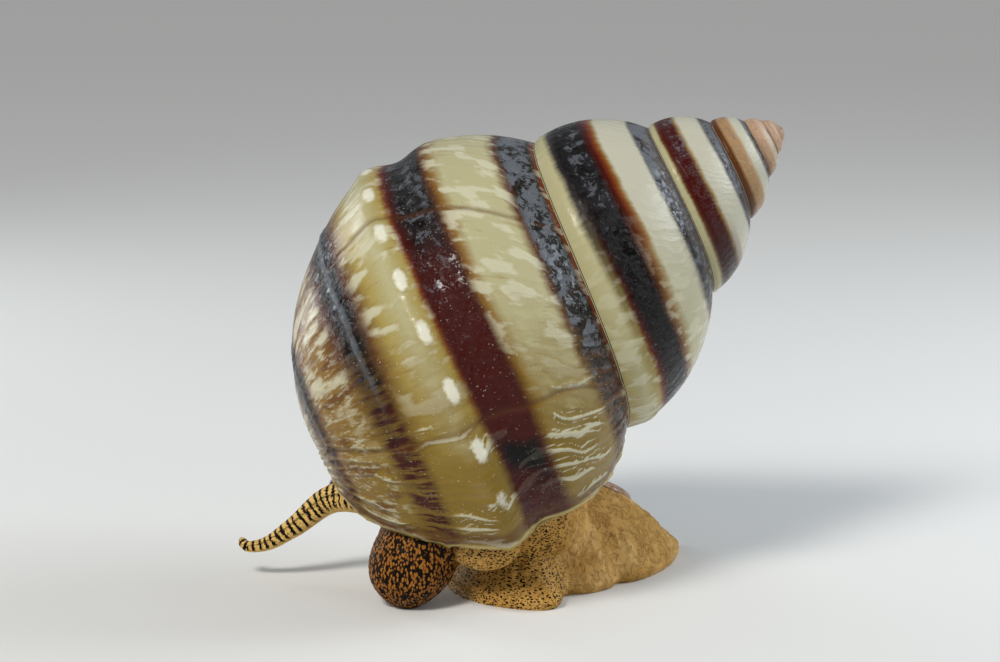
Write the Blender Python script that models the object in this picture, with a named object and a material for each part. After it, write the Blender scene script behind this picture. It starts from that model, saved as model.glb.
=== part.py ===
"""Striped freshwater snail, crawling, at its life size.

World frame: +Z up, the sole on z = 0, the head toward -Y, the snail's left side toward +X.
The origin is on the sole, at the middle of the foot. Lengths below are in millimetres, angles in
degrees and places along the shell's coil in turns, where 0 is the lip and -1 is one turn before it.
"""
import math

import bmesh
import bpy
import numpy as np

MM = 0.001
GAP = 0.3                       # clearance that neighbouring solids keep

# ---- shell: where it sits on the animal -------------------------------------------------------
APEX = np.array([9.34, 8.82, 27.12])
AXIS_DIP = 33.9                 # the axis runs down from the apex to the base by this angle
AXIS_TURN = 38.2                # and swings from straight ahead toward the snail's right by this
AXIS_ROLL = 12.1                # roll of the coil about its own axis

# ---- shell: growth of the whorl ---------------------------------------------------------------
KEEL_RADIUS = 9.75              # keel, one turn before the lip
KEEL_DEPTH = 16.76              # its distance along the axis from the apex
GROW_RADIUS = 1.69              # growth per turn
GROW_DEPTH = 1.877
SLOW_RADIUS = 0.2413            # growth slows over the last turn
SLOW_DEPTH = 0.10
SLOW_POWER = 1.38
UPPER_BULGE = 0.125             # sagitta of the arc suture-keel, as a share of its chord
LOWER_BULGE = 0.168             # the same for the arc keel-base
SUTURE_DROP = 0.045             # a whorl starts this share of the way down the previous lower arc
SUTURE_DROP_LIP = 0.05          # and this much further down at the lip
BASE_RADIUS = 0.10              # base point by the axis, as a share of the keel radius
BASE_DEPTH = 1.45               # and of the keel depth
BASE_DEPTH_LIP = 1.235
BASE_SHIFT = (-0.51, -0.01)     # turns over which the base goes from one to the other
DIMPLE = 0.09                   # the base rounds in by the axis by this share of the keel depth
DIMPLE_FROM = 0.82              # from this share of the lower arc on
LAG_KEEL = 0.085                # growth lines fall back by this much of a turn at the keel
LAG_BASE = 0.125                # and at the base
SULCUS = 0.3                    # depth of the shallow groove above the keel of the last whorl
WALL = 0.9                      # lip thickness
MOUTH_DEPTH = 0.20              # turns of open mouth behind the lip
MOUTH_START = 0.18              # the mouth runs from this share of the section
MOUTH_END = 0.90                # to this one
MOUTH_PINCH = 0.02              # the soft collar in it stays this much further in at each end

# ---- foot -------------------------------------------------------------------------------------
FOOT_FRONT = -9.0
FOOT_TAIL = 9.3
FOOT_HALF_WIDTH = 5.2
FOOT_EDGE = 0.55                # thickness of the foot's margin
FOOT_CUTS = (-4.4, 3.6)         # the foot is parted here, across its length
FOOT_SWEEP = 0.12                # the front margin swings back on the right, by this times x squared
RIDGE = ((-9.0, 0.8), (-8.0, 1.6), (-6.0, 3.0), (-3.0, 4.9), (0.0, 5.3), (3.2, 4.7),
         (4.6, 4.0), (5.8, 3.2), (7.0, 2.2), (8.2, 1.25), (9.3, 0.6))     # height of the back along y

# ---- soft parts above the foot: routes of (centre, half-width, half-thickness) -----------------
HEAD = (((0.7, -5.6, 8.4), 3.5, 2.9), ((0.2, -8.0, 6.9), 3.2, 2.8), ((-0.4, -10.0, 5.1), 3.0, 2.7),
        ((-0.8, -11.4, 3.4), 2.55, 2.45), ((-0.95, -12.1, 1.9), 2.5, 2.35),
        ((-1.0, -12.2, 0.8), 2.2, 2.05), ((-1.0, -12.2, -0.2), 1.35, 1.3))
HEAD_ACROSS = (0.0, -1.0, 1.0)                               # square to it, in the upright plane
NECK_FROM, HEAD_FROM, SNOUT_FROM = 0.16, 0.40, 0.62         # shares of that route
STALK = (((0.3, -3.4, 1.0), 4.2, 4.6), ((0.4, -3.8, 3.2), 4.0, 4.4), ((0.7, -5.0, 5.6), 3.8, 4.0),
         ((1.0, -6.6, 9.8), 3.2, 3.2))
TENTACLE_RIGHT = (((-2.2, -9.7, 4.7), 0.98, 0.98), ((-5.3, -10.4, 5.1), 0.95, 0.95),
                  ((-8.4, -11.4, 4.9), 0.85, 0.85), ((-10.1, -13.1, 3.1), 0.60, 0.60),
                  ((-11.6, -14.2, 2.0), 0.40, 0.40), ((-12.5, -14.7, 1.9), 0.32, 0.32),
                  ((-13.1, -14.6, 2.3), 0.26, 0.26))
TENTACLE_LEFT = (((1.6, -9.4, 4.9), 0.90, 0.90), ((3.1, -8.9, 5.5), 0.75, 0.75),
                 ((4.3, -7.5, 6.1), 0.50, 0.50), ((4.8, -6.0, 6.5), 0.28, 0.28))
LOBE_LEFT = (((4.7, -8.6, 4.3), 0.45, 0.5), ((4.0, -9.3, 3.9), 0.8, 1.1), ((2.9, -10.2, 3.7), 0.9, 1.25),
             ((1.9, -10.9, 3.9), 0.7, 0.9), ((1.3, -11.3, 4.1), 0.3, 0.4))
LOBE_RIGHT = (((-4.5, -7.4, 7.7), 0.4, 0.5), ((-4.6, -9.0, 7.2), 0.8, 1.1),
              ((-4.2, -10.6, 7.0), 0.7, 0.9), ((-3.7, -11.6, 7.1), 0.3, 0.4))
EYE_RADIUS = 0.36
EYE_PLACE = {"right": 0.47, "left": 0.42}                   # share of the tentacle's length
EYE_SIDE = {"right": (-0.3, 0.35, 0.9), "left": (0.2, -0.75, 0.6)}      # the way it looks out
OPERCULUM_CENTRE = np.array([-1.7, 4.6, 3.6])
OPERCULUM_SIZE = (2.1, 2.7)
OPERCULUM_THICK = 0.6
OPERCULUM_TILT = (27.0, 28.0)                               # it slopes down to the tail, and to the right
OPERCULUM_BEND = 0.09                                       # and bends, by this times x squared

# ---- colours ----------------------------------------------------------------------------------
SHELL_BODY = (0.42, 0.36, 0.15)
SHELL_SPIRE = (0.62, 0.56, 0.46)
SHELL_DARK = (0.20, 0.05, 0.03)
FLESH = (0.52, 0.33, 0.13)
SNOUT_BROWN = (0.22, 0.11, 0.04)
TENTACLE_GOLD = (0.55, 0.32, 0.11)
EYE_BLACK = (0.01, 0.01, 0.012)
HORN = (0.16, 0.07, 0.03)


def smooth(x):
    """Smooth step from 0 to 1 over 0..1."""
    x = min(max(x, 0.0), 1.0)
    return x * x * (3.0 - 2.0 * x)


def clear_scene():
    for old in list(bpy.data.objects):
        bpy.data.objects.remove(old, do_unlink=True)


def material(name, colour, roughness):
    mat = bpy.data.materials.new(name)
    mat.use_nodes = True
    shader = mat.node_tree.nodes["Principled BSDF"]
    shader.inputs["Base Color"].default_value = (*colour, 1.0)
    shader.inputs["Roughness"].default_value = roughness
    shader.inputs["Metallic"].default_value = 0.0
    return mat


def solid(name, points, faces, mat, flat_angle=40.0):
    """Make one closed object from points in millimetres, with its faces turned outward."""
    bm = bmesh.new()
    verts = [bm.verts.new([c * MM for c in p]) for p in points]
    for face in faces:
        bm.faces.new([verts[i] for i in face])
    bmesh.ops.recalc_face_normals(bm, faces=bm.faces)
    if bm.calc_volume(signed=True) < 0.0:
        bmesh.ops.reverse_faces(bm, faces=bm.faces)
    mesh = bpy.data.meshes.new(name)
    bm.to_mesh(mesh)
    bm.free()
    mesh.shade_smooth()
    mesh.set_sharp_from_angle(angle=math.radians(flat_angle))
    obj = bpy.data.objects.new(name, mesh)
    bpy.context.collection.objects.link(obj)
    if mat is not None:
        mesh.materials.append(mat)
    return obj


def cutter(obj):
    obj.hide_render = True
    obj.display_type = 'WIRE'
    return obj


def carve(obj, tool, operation='DIFFERENCE'):
    mod = obj.modifiers.new("carve_" + tool.name, 'BOOLEAN')
    mod.operation = operation
    mod.solver = 'EXACT'
    mod.object = tool


def tube_faces(rings, count):
    """Quads between consecutive rings, plus a cap polygon on each end."""
    faces = []
    for i in range(rings - 1):
        for j in range(count):
            k = (j + 1) % count
            faces.append((i * count + j, i * count + k, (i + 1) * count + k, (i + 1) * count + j))
    faces.append(tuple(range(count)))
    faces.append(tuple(range((rings - 1) * count, rings * count)))
    return faces


# ---- the coil ---------------------------------------------------------------------------------

def shell_axes():
    """Unit vectors: along the axis from apex to base, and the two that span the turn."""
    dip, turn, roll = (math.radians(a) for a in (AXIS_DIP, AXIS_TURN, AXIS_ROLL))
    axis = np.array([-math.sin(turn) * math.cos(dip), -math.cos(turn) * math.cos(dip), -math.sin(dip)])
    level = np.cross(np.array([0.0, 0.0, 1.0]), axis)
    level /= np.linalg.norm(level)
    upward = np.cross(axis, level)
    start = math.cos(roll) * level + math.sin(roll) * upward
    side = np.cross(start, axis)
    return axis, start, side


AXIS, START, SIDE = shell_axes()


def keel(t):
    late = max(t + 1.0, 0.0) ** SLOW_POWER
    radius = KEEL_RADIUS * GROW_RADIUS ** (t + 1.0) * math.exp(-SLOW_RADIUS * late)
    depth = KEEL_DEPTH * GROW_DEPTH ** (t + 1.0) * math.exp(-SLOW_DEPTH * late)
    return np.array([radius, depth])


def base(t):
    first, last = BASE_SHIFT
    share = BASE_DEPTH + (BASE_DEPTH_LIP - BASE_DEPTH) * smooth((t - first) / (last - first))
    return keel(t) * np.array([BASE_RADIUS, share])


def arc(start, end, bulge, share):
    """Point on a shallow arc, and its outward normal across the chord."""
    chord = end - start
    length = np.linalg.norm(chord)
    normal = np.array([chord[1], -chord[0]]) / length
    return start + chord * share + normal * (4.0 * bulge * share * (1.0 - share) * length), normal


def lower_arc(t, share):
    """Point from keel to base, rounded in by the axis, and the outward normal."""
    point, normal = arc(keel(t), base(t), LOWER_BULGE, share)
    sink = 1.0 - math.sqrt(1.0 - max((share - DIMPLE_FROM) / (1.0 - DIMPLE_FROM), 0.0) ** 2)
    return point - np.array([0.0, DIMPLE * keel(t)[1] * sink]), normal


def drop(t):
    return SUTURE_DROP + SUTURE_DROP_LIP * smooth((t + 0.6) / 0.6)


def outer(t, s):
    """Section of the whorl in (radius, depth): s runs 0 suture, 1 keel, 2 base."""
    if s > 1.0:
        return lower_arc(t, s - 1.0)[0]
    suture = lower_arc(t - 1.0, drop(t))[0]
    point = arc(suture, keel(t), UPPER_BULGE, s)[0]
    groove = SULCUS * math.exp(-((s - 0.78) / 0.11) ** 2) * smooth((t + 1.0) / 0.5)
    return point + groove * np.array([-0.85, 0.3])


def inner(t, share, gap):
    """The wall that the whorl shares with the previous one, a gap off its lower arc."""
    s = drop(t) + (1.0 - drop(t)) * share
    point, normal = lower_arc(t - 1.0, s)
    by_axis = smooth((s - 0.6) / 0.2)       # straight down over the dimple, which is steep
    return point + gap * (normal * (1.0 - by_axis) + np.array([0.0, 1.5]) * by_axis)


def lag(t, s):
    """Growth lines fall back from the suture to the base; the early whorls have straight ones."""
    if s < 1.0:
        fall = LAG_KEEL * math.sin(s * math.pi / 2.0)
    else:
        fall = LAG_KEEL + (LAG_BASE - LAG_KEEL) * (s - 1.0)
    return fall * smooth(t + 3.0)


def on_coil(t, radius_depth):
    angle = math.radians(90.0) + 2.0 * math.pi * t
    radius, depth = radius_depth
    return APEX + AXIS * depth + START * (radius * math.cos(angle)) + SIDE * (radius * math.sin(angle))


def outer_point(t, s, trim=0.0, grow=0.0):
    turn = t - lag(t, s)
    point = outer(turn, s)
    if grow:
        ahead = outer(turn, min(s + 0.02, 2.0)) - outer(turn, max(s - 0.02, 0.0))
        ahead /= np.linalg.norm(ahead)
        point = point + grow * np.array([ahead[1], -ahead[0]])
    turn += trim / (2.0 * math.pi * max(point[0], 0.6))
    return on_coil(turn, point)


def inner_point(t, share, trim=0.0, gap=GAP):
    turn = t - lag(t, 2.0) * share
    point = inner(turn, share, gap)
    turn += trim / (2.0 * math.pi * max(point[0], 0.6))
    return on_coil(turn, point)


def section(t, count, trim=0.0):
    """Closed section: count + 1 outer points from suture to base, then back along the inner wall."""
    ring = [outer_point(t, 2.0 * k / count, trim) for k in range(count + 1)]
    ring += [inner_point(t, k / count, trim) for k in range(count, 0, -1)]
    ring[0] = inner_point(t, 0.0, trim)
    return ring


def section_cap(first, count):
    """Faces that close a section whose points start at index first."""
    faces = []
    for k in range(count):
        a, b = first + k, first + k + 1
        c, d = first + 2 * count - k, first + 2 * count + 1 - k
        faces.append((a, b, c) if k == 0 else (a, b, c, d))
    return faces


def mouth_section(t, count, wall, trim=0.0, pinch=0.0):
    """The open mouth inside the section, at a wall's distance from both sides of it."""
    outside, inside = [], []
    for k in range(count + 1):
        share = MOUTH_START + pinch + (MOUTH_END - MOUTH_START - 2.0 * pinch) * k / count
        a = outer_point(t, 2.0 * share, trim)
        b = inner_point(t, share, trim)
        across = (b - a) / np.linalg.norm(b - a)
        outside.append(a + across * wall)
        inside.append(b - across * wall)
    return outside + inside[::-1]


def whorl(name, start, end, steps, count, mat):
    """One turn of the shell, filled, with a clearance to the turns before and after it."""
    points = []
    for i in range(steps + 1):
        trim = GAP / 2.0 if i == 0 else -GAP / 2.0 if i == steps else 0.0
        points += section(start + (end - start) * i / steps, count, trim)
    ring = 2 * count + 1
    faces = tube_faces(steps + 1, ring)[:-2]
    faces += section_cap(0, count) + section_cap(steps * ring, count)
    return solid(name, points, faces, mat)


def body_whorl(name, steps, count, mat):
    """The last turn, with the lip and the open mouth."""
    points = []
    for i in range(steps + 1):
        points += section(-1.0 + i / steps, count, GAP / 2.0 if i == 0 else 0.0)
    ring = 2 * count + 1
    faces = tube_faces(steps + 1, ring)[:-2] + section_cap(0, count)
    rim = steps * ring
    mouth = len(points)
    depth_steps = 9
    mouth_ring = 2 * count + 2
    for i in range(depth_steps + 1):
        points += mouth_section(-MOUTH_DEPTH * i / depth_steps, count, WALL)
    last = mouth + depth_steps * mouth_ring
    faces += tube_faces_from(mouth, depth_steps + 1, mouth_ring)
    for k in range(count):
        faces.append((rim + k, rim + k + 1, mouth + k + 1, mouth + k))
        a, b = rim + 2 * count - k, rim + (2 * count + 1 - k) % ring
        c, d = mouth + 2 * count - k, mouth + 2 * count + 1 - k
        faces.append((a, b, d, c))
        faces.append((last + k, last + k + 1, last + 2 * count - k, last + 2 * count + 1 - k))
    faces.append((rim + count, rim + count + 1, mouth + count + 1, mouth + count))
    faces.append((rim, mouth, mouth + 2 * count + 1))
    return solid(name, points, faces, mat)


def tube_faces_from(first, rings, count):
    faces = []
    for i in range(rings - 1):
        for j in range(count):
            k = (j + 1) % count
            a, b = first + i * count, first + (i + 1) * count
            faces.append((a + j, a + k, b + k, b + j))
    return faces


def spire_tip(name, start, end, steps, mat):
    """The early turns as one solid: a strip that winds on itself, closed below by the last turn."""
    rows, low_rows = 4, 4                   # rows down the visible strip, and down the last lower arc
    count = round((end - start) * steps)
    points, index = [], {}

    def vertex(i, j):
        if j == rows and i + steps <= count:
            i, j = i + steps, 0
        if (i, j) not in index:
            t = start + (end - start) * i / count
            edge = 1.0 + drop(t + 1.0)
            s = edge * j / rows if j <= rows else edge + (2.0 - edge) * (j - rows) / low_rows
            index[i, j] = len(points)
            points.append(on_coil(t - GAP / (4.0 * math.pi * max(outer(t, s)[0], 0.6)), outer(t, s)))
        return index[i, j]

    faces = []
    for i in range(count):
        bottom = rows + (low_rows if i >= count - steps else 0)
        for j in range(bottom):
            faces.append((vertex(i, j), vertex(i + 1, j), vertex(i + 1, j + 1), vertex(i, j + 1)))
    points.append(on_coil(0.0, np.array([0.0, keel(start)[1] * 0.5])))
    tip = len(points) - 1
    first = [vertex(i, 0) for i in range(steps + 1)] + [vertex(0, j) for j in range(rows - 1, 0, -1)]
    faces += [(first[k], first[(k + 1) % len(first)], tip) for k in range(len(first))]
    lowest = rows + low_rows
    last = [vertex(count, j) for j in range(lowest + 1)]
    last += [vertex(count - steps, j) for j in range(lowest, rows, -1)]
    faces.append(tuple(last))
    points.append(on_coil(0.0, np.array([0.0, lower_arc(end - 0.5, 1.0)[0][1]])))
    heart = len(points) - 1
    for i in range(count - steps, count):
        faces.append((vertex(i, lowest), vertex(i + 1, lowest), heart))
    faces.append((vertex(count, lowest), vertex(count - steps, lowest), heart))
    return solid(name, points, faces, mat)


def shell_clearance(steps, count):
    """The last turn, filled and grown by the clearance, to carve the flesh with."""
    points = []
    start, reach = -0.95, 0.97              # short of its own start and of the previous turn
    for i in range(steps + 1):
        t = start * (1.0 - i / steps)
        trim = GAP if i == steps else 0.0
        outside, inside = [], []
        for k in range(count + 1):
            share = MOUTH_END * k / count
            a = outer_point(t, 2.0 * share, trim, GAP)
            b = inner_point(t, share, trim)
            outside.append(a)
            inside.append(a + reach * (b - a))
        points += outside + inside[:0:-1]
    ring = 2 * count + 1
    faces = tube_faces(steps + 1, ring)[:-2]
    faces += section_cap(0, count) + section_cap(steps * ring, count)
    return cutter(solid("shell_clearance", points, faces, None))


def mantle(name, count, mat):
    """The soft collar that fills the shell's mouth, a clearance inside its walls."""
    points = []
    steps = 6
    for i in range(steps + 1):
        t = -MOUTH_DEPTH + MOUTH_DEPTH * i / steps
        trim = 2.0 * GAP if i == 0 else 0.0
        points += mouth_section(t, count, WALL + GAP, trim, MOUTH_PINCH)
    ring = 2 * count + 2
    faces = tube_faces(steps + 1, ring)[:-2]
    for first in (0, steps * ring):
        for k in range(count):
            faces.append((first + k, first + k + 1, first + 2 * count - k, first + 2 * count + 1 - k))
    return solid(name, points, faces, mat)


# ---- flesh ------------------------------------------------------------------------------------

def along(table, x):
    """Smooth value from a short table of (place, value)."""
    places = [p for p, _ in table]
    values = [v for _, v in table]
    slopes = np.gradient(values, places)
    i = int(np.clip(np.searchsorted(places, x) - 1, 0, len(places) - 2))
    span = places[i + 1] - places[i]
    u = min(max((x - places[i]) / span, 0.0), 1.0)
    a, b = values[i], values[i + 1]
    return (a * (1 + 2 * u) * (1 - u) ** 2 + slopes[i] * span * u * (1 - u) ** 2
            + b * u * u * (3 - 2 * u) + slopes[i + 1] * span * u * u * (u - 1))


def bump(x, centre, width):
    return math.exp(-((x - centre) / width) ** 2)


def foot_half_width(y):
    """Blunt in front, scalloped along the side, pointed at the tail."""
    front = 1.0 - max((-6.6 - y) / (-6.6 - FOOT_FRONT + 0.25), 0.0) ** 3.0
    tail = 1.0 - max((y - 0.5) / (FOOT_TAIL - 0.5 + 0.12), 0.0) ** 2.0
    lobes = 0.75 * bump(y, -7.0, 1.3) - 0.75 * bump(y, -4.3, 1.0) - 0.45 * bump(y, -0.2, 0.7)
    return (FOOT_HALF_WIDTH + lobes) * math.sqrt(max(front, 0.0)) * max(tail, 0.0) ** 0.72


def foot_sweep(x, y):
    """How far back a point of the foot's front part moves."""
    return FOOT_SWEEP * min(max(1.0 - x, 0.0), 4.0) ** 2 * smooth((-4.5 - y) / 4.5)


def foot_ring(y, lift):
    """Cross-section of the foot: a flat sole, a thin margin and a rounded back."""
    half, top = foot_half_width(y), along(RIDGE, y)
    ring = []
    across = 14
    for k in range(across + 1):
        u = math.sin(math.radians(-90.0 + 180.0 * k / across))
        crown = (1.0 - abs(u) ** 2.2) ** 1.1
        ring.append((half * u, y, FOOT_EDGE + (top - FOOT_EDGE) * crown + lift))
    if lift:
        ring += [(half, y, -1.0), (-half, y, -1.0)]
    else:
        sole = max(half - 0.45, 0.5 * half)
        ring += [(sole, y, 0.0), (0.0, y, 0.0), (-sole, y, 0.0)]
    return [(x, y + foot_sweep(x, y), z) for x, y, z in ring]


def foot_piece(name, start, end, steps, mat, lift=0.0):
    rings = [foot_ring(start + (end - start) * i / steps, lift) for i in range(steps + 1)]
    points = [p for ring in rings for p in ring]
    return solid(name, points, tube_faces(steps + 1, len(rings[0])), mat)


def on_route(route, share):
    """Centre and half-sizes at a share of a route's length."""
    centres = np.array([c for c, _, _ in route])
    steps = np.linalg.norm(np.diff(centres, axis=0), axis=1)
    places = np.concatenate([[0.0], np.cumsum(steps)]) / steps.sum()
    centre = [along(list(zip(places, centres[:, k])), share) for k in range(3)]
    sizes = [along([(p, row[k]) for p, row in zip(places, route)], share) for k in (1, 2)]
    return np.array(centre), sizes


def tube(name, route, start, end, steps, sides, mat, grow=0.0, across=(0.0, 0.0, 1.0)):
    """Oval tube along a length of a route. A piece that stops short leaves the clearance."""
    centres, sizes = zip(*[on_route(route, start + (end - start) * i / steps) for i in range(steps + 1)])
    centres = list(centres)
    if end < 1.0:
        ahead = centres[-1] - centres[-2]
        centres[-1] = centres[-1] - ahead / np.linalg.norm(ahead) * GAP
    points = []
    for i, centre in enumerate(centres):
        ahead = centres[min(i + 1, steps)] - centres[max(i - 1, 0)]
        ahead /= np.linalg.norm(ahead)
        wide = np.cross(ahead, np.array(across))
        wide /= np.linalg.norm(wide)
        thick = np.cross(wide, ahead)
        for j in range(sides):
            angle = 2.0 * math.pi * (j + 0.5) / sides
            points.append(centre + wide * ((sizes[i][0] + grow) * math.cos(angle))
                          + thick * ((sizes[i][1] + grow) * math.sin(angle)))
    return solid(name, points, tube_faces(steps + 1, sides), mat)


def ball(name, centre, radius, mat):
    """Small sphere."""
    bm = bmesh.new()
    bmesh.ops.create_uvsphere(bm, u_segments=10, v_segments=7, radius=radius)
    points = [np.array(centre) + np.array(v.co) for v in bm.verts]
    faces = [tuple(v.index for v in f.verts) for f in bm.faces]
    bm.free()
    return solid(name, points, faces, mat)


def operculum(name, mat, grow=0.0):
    """Thin oval lid on the back of the foot, with a chamfered edge."""
    points = []
    sides = 18
    back, right = (math.radians(angle) for angle in OPERCULUM_TILT)
    along_y = np.array([0.0, math.cos(back), -math.sin(back)])
    along_x = np.array([math.cos(right), 0.0, math.sin(right)])
    upward = np.cross(along_x, along_y)
    for height, size in ((-0.5, 0.90), (-0.2, 1.0), (0.2, 1.0), (0.5, 0.88)):
        for j in range(sides):
            angle = 2.0 * math.pi * j / sides
            x = (OPERCULUM_SIZE[0] * size + grow) * math.cos(angle)
            y = (OPERCULUM_SIZE[1] * size + grow) * math.sin(angle)
            rise = height * (OPERCULUM_THICK + 2.0 * grow) - OPERCULUM_BEND * x * x
            points.append(OPERCULUM_CENTRE + along_x * x + along_y * y + upward * rise)
    return solid(name, points, tube_faces(4, sides), mat)


def ground():
    """Cutter below the floor, which leaves flats where the flesh rests."""
    x, y, low = 20.0, 20.0, -4.0
    points = [(i * x, j * y, k) for k in (low, 0.0) for i, j in ((-1, -1), (1, -1), (1, 1), (-1, 1))]
    faces = [(0, 1, 2, 3), (4, 5, 6, 7)] + [(i, (i + 1) % 4, (i + 1) % 4 + 4, i + 4) for i in range(4)]
    return cutter(solid("ground_cut", points, faces, None))


# ---- the animal -------------------------------------------------------------------------------

def build_shell():
    body_colour = material("shell_body", SHELL_BODY, 0.25)
    spire_colour = material("shell_spire", SHELL_SPIRE, 0.25)
    dark = material("shell_dark", SHELL_DARK, 0.25)
    body_whorl("shell_body_whorl", 40, 11, body_colour)
    whorl("shell_penultimate_whorl", -2.0, -1.0, 30, 9, dark)
    whorl("shell_third_whorl", -3.0, -2.0, 24, 7, spire_colour)
    spire_tip("shell_apex", -6.0, -3.0, 20, spire_colour)


def build_foot(flesh):
    front, tail = FOOT_CUTS
    foot_piece("foot_front", FOOT_FRONT, front - GAP / 2.0, 9, flesh)
    middle = foot_piece("foot_middle", front + GAP / 2.0, tail - GAP / 2.0, 12, flesh)
    end = foot_piece("foot_tail", tail + GAP / 2.0, FOOT_TAIL, 9, flesh)
    operculum("operculum", material("operculum", HORN, 0.35))
    lid_room = cutter(operculum("operculum_clearance", None, GAP))
    carve(middle, lid_room)
    carve(end, lid_room)
    return lid_room


def build_soft_parts(flesh, lid_room):
    brown = material("snout", SNOUT_BROWN, 0.3)
    gold = material("tentacle", TENTACLE_GOLD, 0.3)
    black = material("eye", EYE_BLACK, 0.08)
    shell_room = shell_clearance(40, 11)
    foot_room = cutter(foot_piece("foot_clearance", FOOT_FRONT, FOOT_TAIL, 30, None, lift=GAP))
    floor = ground()
    stalk_room = cutter(tube("stalk_clearance", STALK, 0.0, 1.0, 8, 18, None, GAP, (0.0, -1.0, 0.0)))
    head_room = cutter(tube("head_clearance", HEAD, 0.0, 1.0, 14, 18, None, GAP, HEAD_ACROSS))

    collar = mantle("mantle_collar", 8, flesh)
    stalk = tube("foot_stalk", STALK, 0.0, 1.0, 8, 18, flesh, across=(0.0, -1.0, 0.0))
    neck = tube("neck", HEAD, NECK_FROM, HEAD_FROM, 5, 18, flesh, across=HEAD_ACROSS)
    head = tube("head", HEAD, HEAD_FROM, SNOUT_FROM, 5, 18, flesh, across=HEAD_ACROSS)
    snout = tube("snout", HEAD, SNOUT_FROM, 1.0, 8, 18, brown, across=HEAD_ACROSS)
    for piece, tools in ((stalk, (foot_room, shell_room, lid_room)), (neck, (stalk_room, shell_room)),
                         (head, (stalk_room, foot_room, shell_room)), (snout, (floor, shell_room))):
        for tool in tools:
            carve(piece, tool)

    for side, route in (("right", TENTACLE_RIGHT), ("left", TENTACLE_LEFT)):
        root = tube("tentacle_%s_base" % side, route, 0.0, 0.55, 7, 10, gold)
        carve(root, head_room)
        tube("tentacle_%s_tip" % side, route, 0.55, 1.0, 7, 10, gold)
        tentacle_room = cutter(tube("tentacle_%s_clearance" % side, route, 0.0, 1.0, 14, 10, None, GAP))
        at, sizes = on_route(route, EYE_PLACE[side])
        out = np.array(EYE_SIDE[side]) / np.linalg.norm(EYE_SIDE[side])
        eye_centre = at + out * sizes[0]
        ball("eye_%s" % side, eye_centre, EYE_RADIUS, black)
        eye_room = cutter(ball("eye_%s_clearance" % side, eye_centre, EYE_RADIUS + GAP, None))
        for piece, tool in ((collar, tentacle_room), (stalk, tentacle_room), (collar, eye_room),
                            (root, eye_room)):
            carve(piece, tool)

    for side, route in (("left", LOBE_LEFT), ("right", LOBE_RIGHT)):
        lobe = tube("neck_lobe_%s" % side, route, 0.0, 1.0, 8, 12, flesh)
        carve(lobe, shell_room)
        carve(lobe, head_room)
        carve(lobe, stalk_room)


def main():
    clear_scene()
    flesh = material("flesh", FLESH, 0.3)
    build_shell()
    lid_room = build_foot(flesh)
    build_soft_parts(flesh, lid_room)


main()
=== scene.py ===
"""Looks of the striped freshwater snail: shell, skin, eyes, operculum, floor, lights and camera.

Lengths in this script are in millimetres, in the frame's own axes, unless a name ends in _M. Places
on the shell are given as t, turns along the coil with the lip at 0, and s, across the whorl with the
suture at 0, the keel at 1 and the base by the axis at 2.
"""
import math

import bmesh
import bpy
import numpy as np
from mathutils import Matrix, Vector


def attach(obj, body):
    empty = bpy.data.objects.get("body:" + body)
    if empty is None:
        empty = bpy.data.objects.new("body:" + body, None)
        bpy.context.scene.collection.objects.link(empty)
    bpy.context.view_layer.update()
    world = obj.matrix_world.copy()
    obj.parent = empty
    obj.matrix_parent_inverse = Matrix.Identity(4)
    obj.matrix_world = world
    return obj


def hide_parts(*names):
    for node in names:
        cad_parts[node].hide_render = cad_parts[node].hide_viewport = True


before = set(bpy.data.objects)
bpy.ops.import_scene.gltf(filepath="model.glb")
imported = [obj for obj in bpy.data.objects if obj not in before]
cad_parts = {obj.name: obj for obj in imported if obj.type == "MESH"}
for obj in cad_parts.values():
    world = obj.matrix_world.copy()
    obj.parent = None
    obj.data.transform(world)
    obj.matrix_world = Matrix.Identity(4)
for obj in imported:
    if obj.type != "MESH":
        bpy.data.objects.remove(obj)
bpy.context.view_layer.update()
MM = 0.001

# ---- shell: the growth law of the CAD source -------------------------
APEX = np.array([9.34, 8.82, 27.12])
AXIS_DIP, AXIS_TURN, AXIS_ROLL = 33.9, 38.2, 12.1  # degrees
KEEL_RADIUS, KEEL_DEPTH = 9.75, 16.76  # one turn before the lip
GROW_RADIUS, GROW_DEPTH = 1.69, 1.877  # growth per turn
SLOW_RADIUS, SLOW_DEPTH, SLOW_POWER = 0.2413, 0.10, 1.38
UPPER_BULGE, LOWER_BULGE = 0.125, 0.168
SUTURE_DROP, SUTURE_DROP_LIP = 0.045, 0.05
BASE_RADIUS, BASE_DEPTH, BASE_DEPTH_LIP = 0.10, 1.45, 1.235
BASE_SHIFT = (-0.51, -0.01)
DIMPLE, DIMPLE_FROM = 0.09, 0.82
LAG_KEEL, LAG_BASE = 0.085, 0.125
SULCUS, SULCUS_AT, SULCUS_WIDTH = 0.3, 0.78, 0.11

# ---- shell: the mesh of the looks ------------------------------------
FIRST_TURN = -6.2
ROWS_PER_TURN = 600
UPPER_COLUMNS, LOWER_COLUMNS = 80, 130
COLUMNS = UPPER_COLUMNS + LOWER_COLUMNS + 1
LIP_THICK, WALL, CALLUS = 0.28, 0.8, 0.12
MOUTH_DEPTH, MOUTH_RINGS = 0.16, 24
MOUTH_START, MOUTH_END = 0.10, 0.90
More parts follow.
